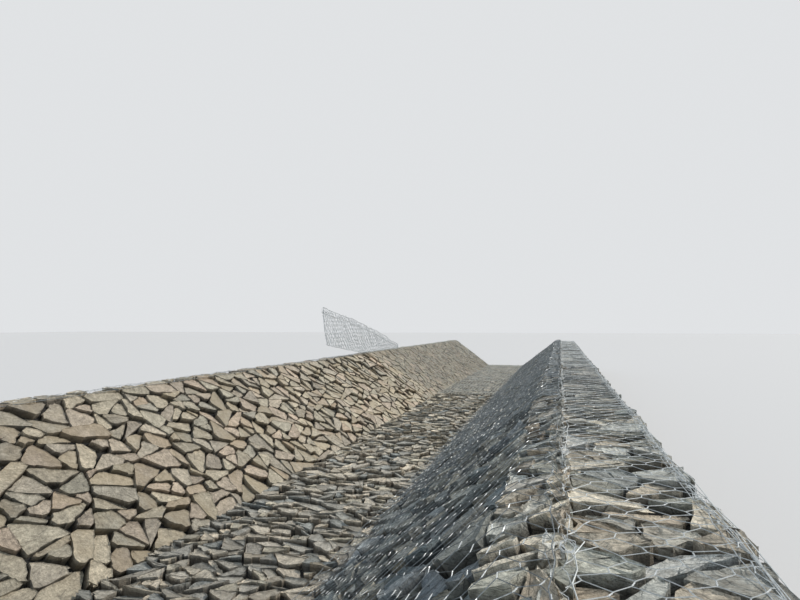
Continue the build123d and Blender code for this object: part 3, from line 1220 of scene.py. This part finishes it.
def woven_runs(place, outlines, weave, resting=True):
    """Runs of wire of hexagonal netting over outlines: twisted pairs in rows, one row set off from the next.

    place turns outline places into points and normals."""
    if weave.turned:
        outlines = [[(v, u) for u, v in reversed(outline)] for outline in outlines]

    def lay(u, v):
        return place(v, u) if weave.turned else place(u, v)

    across, along, wave = knot_grid(outlines, weave)
    outside = beyond(outlines, across, along)
    level = rested(lay, outside, across, along) if resting else np.zeros(across.shape)
    billow = np.sin(across * 4.7 + wave[0]) * np.sin(along * 3.9 + wave[1])
    billow = billow + 0.5 * np.sin(across * 9.1 + along * 6.3)
    loose = np.clip(-outside / 0.3 - 0.4, 0, 1)
    level = level + weave.bulge * loose * np.clip(billow, 0, 1)
    level = np.minimum(level + weave.radius, LOWEST_CEILING + (weave.ceiling - LOWEST_CEILING) * loose)

    rows, columns = across.shape[:2]
    row = np.arange(rows)
    shares = np.linspace(0, 1, weave.twists)
    turns = np.where(np.arange(weave.twists) % 2, -1, 1)
    runs = []
    for start_column in range(columns):
        for family in (0, 1):
            column = start_column - family * (row % 2)
            if column.min() < 0:
                continue
            ends = (across[row, column], along[row, column], level[row, column])
            u, v, h = (each[:, :1] * (1 - shares) + each[:, 1:] * shares for each in ends)
            strand = TWIST_SPREAD * np.where((row % 2) == family, 1, -1)
            u = u + strand[:, None] * turns
            runs += cut_runs(lay, outlines, u.ravel(), v.ravel(), h.ravel(), weave.twists)
    return runs


def cut_runs(lay, outlines, u, v, h, twists):
    """The stretches of one wire that lie inside its outlines, ending right on them."""
    gap = beyond(outlines, u, v)
    inside = gap <= 0
    runs, start = [], None

    def crossing(k, share):
        return tuple(a[k] + (a[k + 1] - a[k]) * share for a in (u, v, h))

    for i in range(len(u)):
        if inside[i] and start is None:
            start = i
        if start is not None and (i == len(u) - 1 or not inside[i + 1]):
            places = [(u[k], v[k], h[k]) for k in range(start, i + 1)]
            twisted = [k % twists < twists - 1 for k in range(start, i)]
            if start > 0:
                places.insert(0, crossing(start - 1, gap[start - 1] / (gap[start - 1] - gap[start] + TINY)))
                twisted.insert(0, False)
            if i < len(u) - 1:
                places.append(crossing(i, gap[i] / (gap[i] - gap[i + 1] - TINY)))
                twisted.append(False)
            start = None
            if len(places) > 1:
                places = np.array(places)
                points, normals = lay(places[:, 0], places[:, 1])
                runs.append((points + normals * places[:, 2:], normals, np.array(twisted)))
    return runs


# Selvedges and lacing


def selvedge_runs(place, corners, seed, strands=1, wander=0.006, spread=0.0, ceiling=LOWEST_CEILING):
    """Thicker wires along an edge of a lid, which rest on the stones and wander off the straight."""
    rng = np.random.default_rng(seed)
    runs = []
    for start, end in zip(corners, corners[1:]):
        length = math.dist(start, end)
        count = max(3, round(length / SELVEDGE_STEP) + 1)
        share = np.linspace(0, 1, count)
        held = np.minimum(1, np.minimum(share, 1 - share) * length / SELVEDGE_HOLD)
        off_u, off_v = (end[1] - start[1]) / length, -(end[0] - start[0]) / length
        for _ in range(strands):
            wave = rng.uniform(0, FULL_TURN, 2)
            rove = np.sin(share * length * 1.9 + wave[0]) + 0.6 * np.sin(share * length * 4.3 + wave[1])
            aside = (rng.normal(0, wander, count) + spread * rove) * held
            u, v = between(start, end, share)
            points, normals = place(u + off_u * aside, v + off_v * aside)
            rest = rest_heights(points, normals, SELVEDGE_DEEPEST)
            height = rest.copy()
            for _ in range(SELVEDGE_PULLS):
                height[1:-1] = np.maximum(rest[1:-1], (height[:-2] + height[2:]) / 2)
            height = height + np.abs(rng.normal(0, wander / 2, count)) + SELVEDGE_RADIUS
            runs.append(one_wire(points + normals * np.minimum(height, ceiling)[:, None], normals))
    return runs


def lacing_runs(start, end, reach, seed):
    """A lacing wire wound in open uneven turns round two selvedges, from start to end."""
    rng = np.random.default_rng(seed)
    start, end = np.array(start), np.array(end)
    length = np.linalg.norm(end - start)
    count = int(length / LACING_PITCH * LACING_POINTS)
    share = np.linspace(0, 1, count)
    uneven = 1.6 * np.sin(share * length * 2.7 + rng.uniform(0, 6))
    turn = share * length / LACING_PITCH * 2 * math.pi + uneven
    ahead = (end - start) / length
    aside = np.cross(ahead, (0, 0, 1))
    up = np.cross(aside, ahead)
    wide = reach * rng.uniform(0.7, 1.25, count)
    wound = aside * np.cos(turn)[:, None] + up * np.sin(turn)[:, None]
    line = start + (end - start) * share[:, None] + wound * wide[:, None]
    return [one_wire(line, np.tile(up * 0.7 + aside * 0.71, (count, 1)))]


def knot_runs(centre, seed, tails=4, reach=0.045):
    """A knot of lacing wires with free tails."""
    rng = np.random.default_rng(seed)
    runs = []
    for _ in range(tails):
        turn = rng.uniform(0, FULL_TURN)
        loop = np.linspace(0, rng.uniform(3.5, 6.5), 8) + turn
        swell = reach * rng.uniform(0.35, 1.0)
        tilt = rng.uniform(-0.8, 0.8)
        flat = [np.cos(loop) * swell, np.sin(loop) * swell * 0.8]
        line = np.stack([*flat, np.sin(loop + tilt) * swell * 0.55], 1)
        tail = line[-1] * rng.uniform(1.6, 2.4) + np.array([0, 0, rng.uniform(-0.02, 0.03)])
        line = np.concatenate([line, [tail]]) + np.array(centre)
        # The knots take the twists' material, painted paler as a highlight
        runs.append(one_wire(line, np.tile((0.3, 0.4, 0.87), (len(line), 1)), bright=True))
    return runs


# Netting of each bay


def twist_points(bay):
    """Points on each twist: enough to show its two turns in the nearest bay."""
    return 4 if bay == BAYS[0] else 2


def around(outline):
    return outline + outline[:1]


def net_wall(bay, near, far, panels):
    """Netting over the wall's back and crest, with bunched selvedges and lacing wire along its edges."""
    back, crest = BACK_LID.covered(near, far), CREST_LID.covered(near, far)
    over = Weave(200 + bay, slack=0.011, bulge=0.012, twists=twist_points(bay), ceiling=0.02)
    runs = panels + woven_runs(BACK_LID, [back], Weave(100 + bay)) + woven_runs(CREST_LID, [crest], over)
    seam = [(CREST_LID.reach[2] - 0.015, y) for y in (near, far)]
    brink = [(CREST_LID.reach[1], y) for y in (near, far)]
    hem = [(BACK_LID.reach[2] - 0.5 * EDGE, y) for y in (near, far)]
    edges = selvedge_runs(BACK_LID, around(back), 120 + bay, wander=0.010)
    edges += selvedge_runs(CREST_LID, crest[:2], 220 + bay, wander=0.012, ceiling=0.012)
    edges += selvedge_runs(CREST_LID, crest[2:], 230 + bay, wander=0.012, ceiling=0.012)
    edges += selvedge_runs(CREST_LID, seam, 250 + bay, wander=0.016, spread=0.016, ceiling=-0.004)
    edges += selvedge_runs(CREST_LID, brink, 240 + bay, strands=4, wander=0.008, spread=0.024, ceiling=0.014)
    edges += selvedge_runs(BACK_LID, hem, 260 + bay, strands=2, spread=0.012)
    laced = CREST_TOP - LACING_SUNK
    lacing = lacing_runs((SEAM_X, near, laced), (SEAM_X, far, laced), 0.020, 20 + bay)
    for k, y in enumerate((near + 1.05, (near + far) / 2, far - 0.05)):
        lacing += knot_runs((SEAM_X + 0.015, y, CREST_TOP + 0.012), 300 + 10 * bay + k)
    wires = (runs, WIRE_RADIUS, 3), (edges, SELVEDGE_RADIUS, 4), (lacing, LACING_RADIUS, 3)
    # The crest's wires are painted lighter as light, their twists paler as a highlight
    wire_piece(f"wall_netting_{bay}", [f"wall_basket_{bay}"], CREST_LIGHT_AND_HIGHLIGHT_WIRES, *wires)


def net_slope(bay, near, far, panels):
    """Netting over the rim and down the slope, loose at its toe."""
    radius = WIRE_RADIUS if bay == BAYS[0] else FAR_SLOPE_WIRE_RADIUS
    slope = SLOPE_LID.covered(near, far)
    over = Weave(300 + bay, slack=0.011, bulge=0.014, twists=twist_points(bay), ceiling=0.03, radius=radius)
    runs = panels + woven_runs(SLOPE_LID, [slope], over)
    seam = [(SLOPE_LID.reach[2] + 0.01, y) for y in (far, near)]
    edges = selvedge_runs(SLOPE_LID, seam, 320 + bay, wander=0.028, spread=0.03, ceiling=0.0)
    edges += selvedge_runs(SLOPE_LID, slope[:2], 330 + bay, wander=0.018, ceiling=0.02)
    edges += selvedge_runs(SLOPE_LID, slope[1:], 340 + bay, wander=0.018, ceiling=0.02)
    wires = (runs, radius, 3), (edges, SELVEDGE_RADIUS, 4)
    # The slope's single wires are painted darker as shade, their twists paler as a highlight
    wire_piece(f"slope_netting_{bay}", [f"slope_basket_{bay}"], SLOPE_SHADE_AND_HIGHLIGHT_WIRES, *wires)


def far_lid_outlines(bay, near, far):
    """Outlines of a lid over the bed and the bank. The first one's near edge is drawn back over the bed."""
    if bay > FIRST_LIDDED_BAY:
        return [FAR_LID.covered(near, far)]
    toe, top = FAR_LID.reach[2:4]
    end = FAR_LID.length
    drawn = near + LID_DRAWN_BACK
    return [
        [(0, drawn), (toe, drawn - LID_SLANT), (toe, far), (0, far)],
        [(toe, drawn - LID_SLANT), (top, near), (end, near), (end, far), (toe, far)],
    ]


def net_bank(bay, near, far, panels):
    """Netting of the opposite bank: over bed, slope and back in the lidded bays, and else on its back."""
    if bay < FIRST_LIDDED_BAY:
        course, outlines = BANK_BACK_LID, [BANK_BACK_LID.covered(near, far)]
        # On the bank's back the single wires are painted darker as shade
        weave, radius, finish = Weave(400 + bay), WIRE_RADIUS, BACK_PAINTED_SHADE_WIRES
    else:
        course, outlines = FAR_LID, far_lid_outlines(bay, near, far)
        weave = Weave(500 + bay, slack=0.010, bulge=0.010, turned=True, ceiling=0.02)
        radius, finish = LID_WIRE_RADIUS, LID_FINISH
    runs = woven_runs(course, outlines, weave) + panels
    edges = []
    for k, outline in enumerate(outlines):
        edges += selvedge_runs(course, around(outline), 420 + 10 * bay + k, wander=0.010, ceiling=0.012)
    wires = (runs, radius, 3), (edges, SELVEDGE_RADIUS, 4)
    wire_piece(f"bank_netting_{bay}", [f"bank_basket_{bay}"], finish, *wires)


def lay_netting():
    """Netting of every bay, with the upright panels at the two open ends of the wall."""
    for bay in BAYS:
        near, far = bay_ends(bay)
        panels = {kind: [] for kind in GABIONS}
        ends = [(near - END_OFF, -1)] * (bay == BAYS[0]) + [(far + END_OFF, 1)] * (bay == BAYS[-1])
        for y, facing in ends:
            for kind, (faces, _) in GABIONS.items():
                section = faces(bay)[1]
                panels[kind] += woven_runs(Panel(y, facing), [section], Weave(900 + bay))
        net_wall(bay, near, far, panels["wall"])
        net_slope(bay, near, far, panels["slope"])
        net_bank(bay, near, far, panels["bed"] + panels["bank"])


# Raised flap of netting on the opposite bank


class Flap:
    """One loose layer of a lid left folded back: it stands on the bank's crest, leans out and ripples."""

    def __init__(self, behind, phase):
        self.behind = behind
        self.phase = phase

    def __call__(self, y, up):
        """Points and normals at Y places and heights above the bank's crest."""
        share = (y - FLAP_NEAR.y) / (FLAP_FAR.y - FLAP_NEAR.y)
        ripple = 0.035 * np.sin(y * 2.3 + self.phase) + 0.02 * np.sin(y * 5.9 + up * 4 + self.phase * 2)
        x = FLAP_SEAT_X - up * FLAP_LEAN - (self.behind + ripple) * np.minimum(up * 4, 1)
        points = np.stack([x, y, CREST_TOP + up], axis=-1)
        normals = np.zeros(points.shape)
        normals[..., 0] = 1
        normals[..., 1] = 0.12 * np.cos(y * 2.3 + self.phase) * (1 - share)
        return points, normals


def free_edge(share):
    """Height of the flap's top edge from its near end to its far end, bowed up a little."""
    return FLAP_HIGH + (FLAP_LOW - FLAP_HIGH) * share + FLAP_BOW * math.sin(math.pi * share)


def flap_outline(lowered=0.0, drawn_in=0.0):
    """The flap's outline in Y and height, its top edge lowered and its near edge drawn in."""
    near = FLAP_NEAR.y + drawn_in
    length = FLAP_FAR.y - near
    top = [(near + length * s, max(free_edge(s) - lowered, 0.04)) for s in (1.0, 0.75, 0.5, 0.25, 0.0)]
    return [(near, FLAP_LIFT), (near + 0.38 * length, 0.02), (FLAP_FAR.y, 0.0)] + top


def loose_selvedges(place, corners, seed):
    """Selvedge wires through the air between corners, with a slight wave."""
    rng = np.random.default_rng(seed)
    runs = []
    for start, end in zip(corners, corners[1:]):
        length = math.dist(start, end)
        if length < 0.02:
            continue
        share = np.linspace(0, 1, max(3, round(length / SELVEDGE_STEP) + 1))
        y, up = between(start, end, share)
        up = up + rng.normal(0, 0.006, len(share))
        runs.append(one_wire(*place(y, np.maximum(up, 0.002))))
    return runs


def raise_flap():
    """The standing flap: three layers of netting with thick selvedges, and its top edge folded over."""
    runs, edges = [], []
    for k, (behind, phase) in enumerate(((0.0, 0.4), (0.03, 1.9), (0.06, 3.6))):
        place = Flap(behind, phase)
        weave = Weave(700 + k, slack=0.014, ceiling=0.05, radius=FLAP_WIRE_RADIUS)
        runs += woven_runs(place, [flap_outline(0.03 * k, 0.1 * k)], weave, resting=False)
        if k == 0:
            edges += loose_selvedges(place, around(flap_outline()), 720)
    fold = flap_outline()[3:]
    hem = [(y, max(up - FLAP_HEM, LOWEST_HEM)) for y, up in reversed(fold)]
    folded = Flap(-0.03, 2.7)
    weave = Weave(710, slack=0.02, ceiling=0.05, radius=FLAP_WIRE_RADIUS)
    runs += woven_runs(folded, [hem + fold], weave, resting=False)
    edges += loose_selvedges(folded, hem, 730)
    wires = (runs, FLAP_WIRE_RADIUS, 3), (edges, FLAP_SELVEDGE_RADIUS, 4)
    # The flap's twists are painted paler as a highlight
    wire_piece("raised_flap_netting", ["raised_flap_near", "raised_flap_far"], FLAP_PAINTED_HIGHLIGHT_WIRES, *wires)


lay_netting()
raise_flap()


# Camera, floor and light


def place_camera():
    """Camera just before the near end, above the seam, looking along the crest."""
    near, _ = bay_ends(BAYS[0])
    data = bpy.data.cameras.new("camera")
    data.sensor_width = SENSOR_WIDTH
    data.lens = FOCAL_PIXELS / FRAME_PIXELS * data.sensor_width
    data.clip_end = CLIP_END
    camera = shown("camera", data)
    camera.location = (SLOPE_HIGH.x, near - CAMERA_BACK, CREST_TOP + CAMERA_ABOVE_CREST)
    camera.rotation_euler = (math.radians(90 + CAMERA_PITCH), 0, math.radians(CAMERA_YAW))
    bpy.context.scene.camera = camera


def lay_floor():
    """Pale floor of the studio."""
    bm = bmesh.new()
    bmesh.ops.create_grid(bm, x_segments=1, y_segments=1, size=FLOOR_SIZE)
    mesh = bpy.data.meshes.new("floor")
    bm.to_mesh(mesh)
    bm.free()
    floor = shown("floor", mesh)
    mat, shader = material("floor", 0.9)
    shader.inputs["Base Color"].default_value = FLOOR_COLOUR
    mesh.materials.append(mat)


def lay_sky():
    """An even pale sky, with a paler backdrop for the camera, gloss and glass alone."""
    world = bpy.data.worlds.new("studio")
    bpy.context.scene.world = world
    world.use_nodes = True
    tree = world.node_tree
    sky = tree.nodes["Background"]
    feed(tree, sky.inputs["Color"], SKY_COLOUR)
    feed(tree, sky.inputs["Strength"], SKY_STRENGTH)
    backdrop = fed_node(tree, "Background", Color=BACKDROP_COLOUR, Strength=BACKDROP_STRENGTH)
    seen = tree.nodes.new("ShaderNodeLightPath")
    direct = reckoned(tree, "MAXIMUM", seen.outputs["Is Camera Ray"], seen.outputs["Is Glossy Ray"])
    direct = reckoned(tree, "MAXIMUM", direct, seen.outputs["Is Transmission Ray"])
    either = tree.nodes.new("ShaderNodeMixShader")
    lights = sky.outputs["Background"], backdrop.outputs["Background"]
    for socket, value in zip(either.inputs, (direct, *lights)):
        feed(tree, socket, value)
    feed(tree, tree.nodes["World Output"].inputs["Surface"], either.outputs["Shader"])


def hang_key():
    """One soft key light from the wall's side."""
    key = bpy.data.lights.new("key", "SUN")
    key.energy = KEY_STRENGTH
    key.angle = math.radians(KEY_SPREAD)
    key.color = KEY_COLOUR
    lamp = shown("key", key)
    lamp.rotation_euler = [math.radians(turn) for turn in KEY_TURN]


bpy.context.scene.view_settings.view_transform = "Standard"
place_camera()
lay_floor()
lay_sky()
hang_key()
